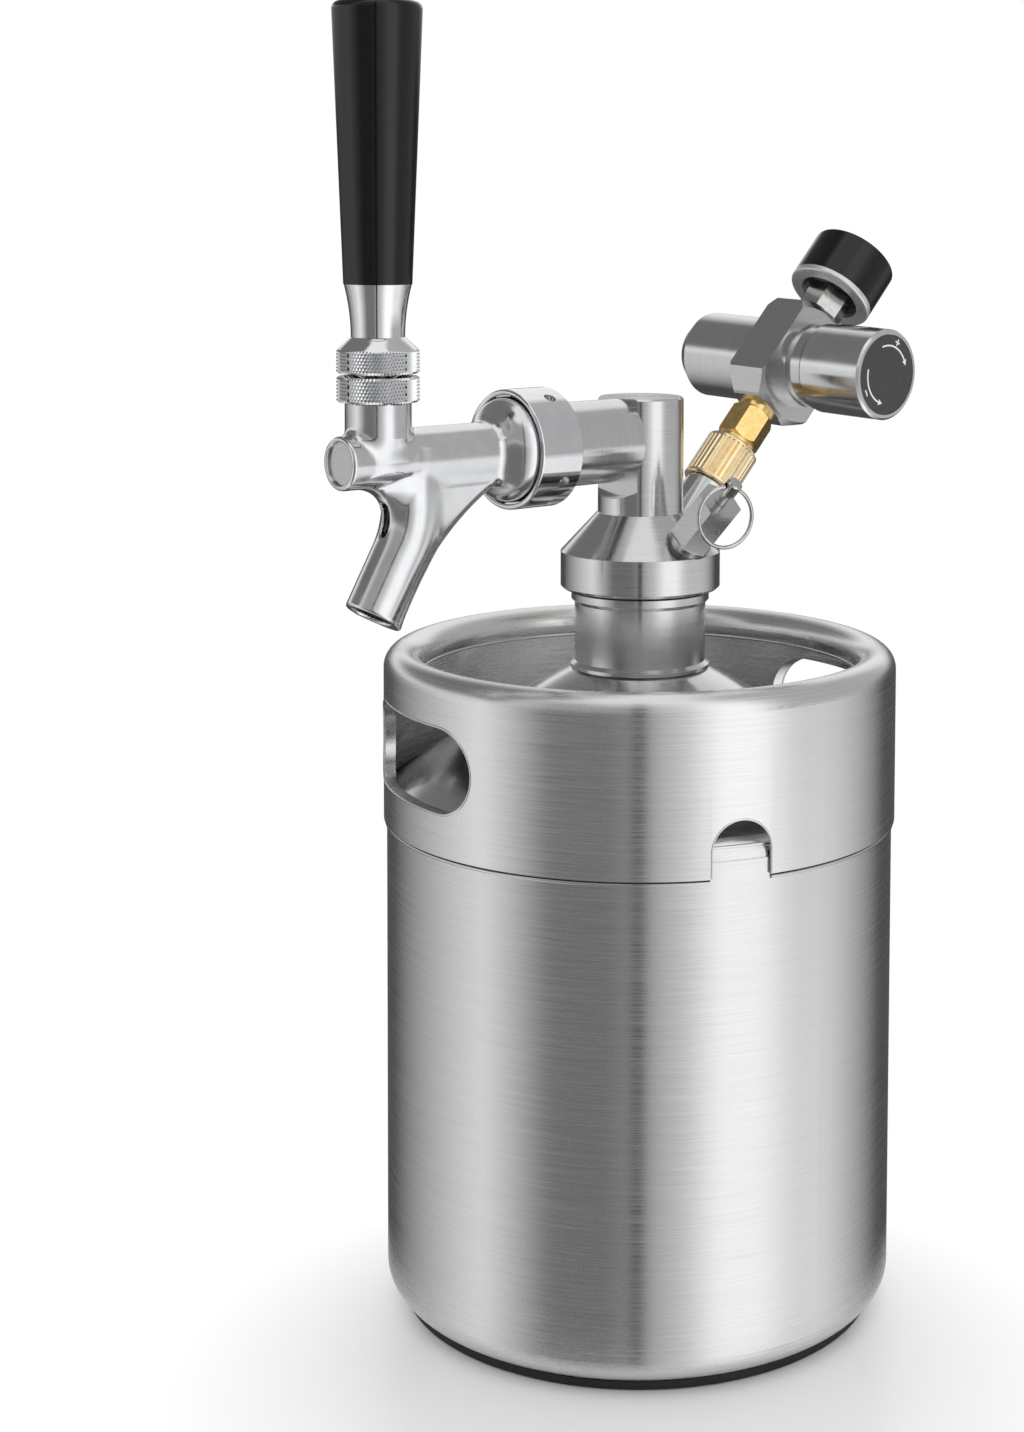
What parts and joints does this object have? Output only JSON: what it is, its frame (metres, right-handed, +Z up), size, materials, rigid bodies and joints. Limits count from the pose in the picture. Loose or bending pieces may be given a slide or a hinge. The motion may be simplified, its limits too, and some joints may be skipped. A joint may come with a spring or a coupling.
{
  "type": "mini keg beer dispenser",
  "caption": "Steel mini keg with a pierced collar and a screw-on tap head that carries a lever faucet, a pull-ring relief valve and a small gas regulator with a gauge.",
  "frame": {"origin": "centre of the base pad's underside, on the keg's own axis", "axes": "+Z up along the keg's axis, -Y the way the faucet points, +X the relief valve's side"},
  "size_m": [0.165, 0.2279, 0.41],
  "materials": {
    "brushed_steel": "brushed round the keg",
    "machined_steel": "satin, turned or milled",
    "polished_chrome": "polished",
    "plain_steel": "bright drawn",
    "yellow_brass": "machined, bright",
    "black_plastic": "glossy",
    "black_rubber": "matte",
    "white_nylon": "matte",
    "dial_paint": "matte white print ground",
    "needle_paint": "matte black",
    "clear_lens": "clear, polished"
  },
  "bodies": {
    "keg": {"keg_shell": "brushed_steel", "keg_dome": "brushed_steel", "keg_neck": "machined_steel", "keg_collar": "brushed_steel", "base_pad": "black_rubber"},
    "lever": {"lever_stem": "plain_steel", "lever_collar": "polished_chrome", "lever_ferrule": "polished_chrome", "lever_handle": "black_plastic"},
    "plunger": {"plunger_shaft": "plain_steel", "seat_washer": "black_rubber", "seat_nut": "plain_steel"},
    "union_nut_body": {"union_nut": "yellow_brass"},
    "knob": {"pressure_knob": "polished_chrome", "knob_dial": "black_plastic"},
    "needle": {"gauge_needle": "needle_paint"},
    "relief_pin_body": {"relief_pin": "plain_steel", "relief_seal": "black_rubber"},
    "relief_ring": {"pull_ring": "plain_steel"},
    "tap": {"tap_head": "machined_steel", "riser_post": "machined_steel", "shank": "machined_steel", "gas_nipple": "machined_steel", "relief_body": "machined_steel", "regulator_block": "machined_steel", "cartridge_barrel": "machined_steel", "knob_shoulder": "machined_steel", "dip_tube": "machined_steel", "faucet_body": "polished_chrome", "faucet_cap": "polished_chrome", "coupling_nut": "polished_chrome", "bonnet": "polished_chrome", "pierce_pin": "plain_steel", "piston": "plain_steel", "regulator_spring": "plain_steel", "relief_spring": "plain_steel", "gauge_stem": "plain_steel", "gauge_back_ring": "plain_steel", "hex_adapter": "yellow_brass", "bourdon_tube": "yellow_brass", "gauge_case": "black_plastic", "skirt_seal": "black_rubber", "mouth_seal": "black_rubber", "tail_washer": "black_rubber", "gas_washer": "black_rubber", "cartridge_seal": "black_rubber", "ball_seat": "white_nylon", "ball_retainer": "white_nylon", "gauge_dial": "dial_paint", "gauge_lens": "clear_lens"}
  },
  "joints": [
    {"name": "tap_lift", "type": "slide", "parent": "keg", "child": "tap", "axis": [0, 0, 1], "range_m": [0, 0.235]},
    {"name": "lever_tilt", "type": "hinge", "parent": "tap", "child": "lever", "pos_m": [0, -0.1033, 0.29], "axis": [1, 0, 0], "range_deg": [0, 25]},
    {"name": "plunger_slide", "type": "slide", "parent": "tap", "child": "plunger", "axis": [0, 1, 0], "range_m": [0, 0.0058]},
    {"name": "union_nut_turn", "type": "hinge", "parent": "tap", "child": "union_nut_body", "pos_m": [0, 0.03563, 0.2647], "axis": [0, 0.6845, 0.729], "continuous": true},
    {"name": "knob_turn", "type": "hinge", "parent": "tap", "child": "knob", "pos_m": [0.02996, 0.06792, 0.29679], "axis": [0.9986, 0.0382, -0.0358], "range_deg": [0, 360]},
    {"name": "needle_swing", "type": "hinge", "parent": "tap", "child": "needle", "pos_m": [0, 0.09758, 0.33067], "axis": [0, -0.6845, -0.729], "range_deg": [0, 270], "stiffness_Nm_per_rad": 0.0002},
    {"name": "relief_lift", "type": "slide", "parent": "tap", "child": "relief_pin_body", "axis": [0.7133, 0, 0.7009], "range_m": [0, 0.003], "stiffness_N_per_m": 300, "springref_m": -0.005, "deforming": ["relief_spring"]},
    {"name": "ring_swing", "type": "hinge", "parent": "relief_pin_body", "child": "relief_ring", "pos_m": [0.04227, 0, 0.26452], "axis": [-0.2397, -0.9397, 0.2439], "range_deg": [-3, 120]}
  ],
  "couplings": [
    {"joint": "plunger_slide", "follows": "lever_tilt", "m_per_rad": 0.01315}
  ]
}
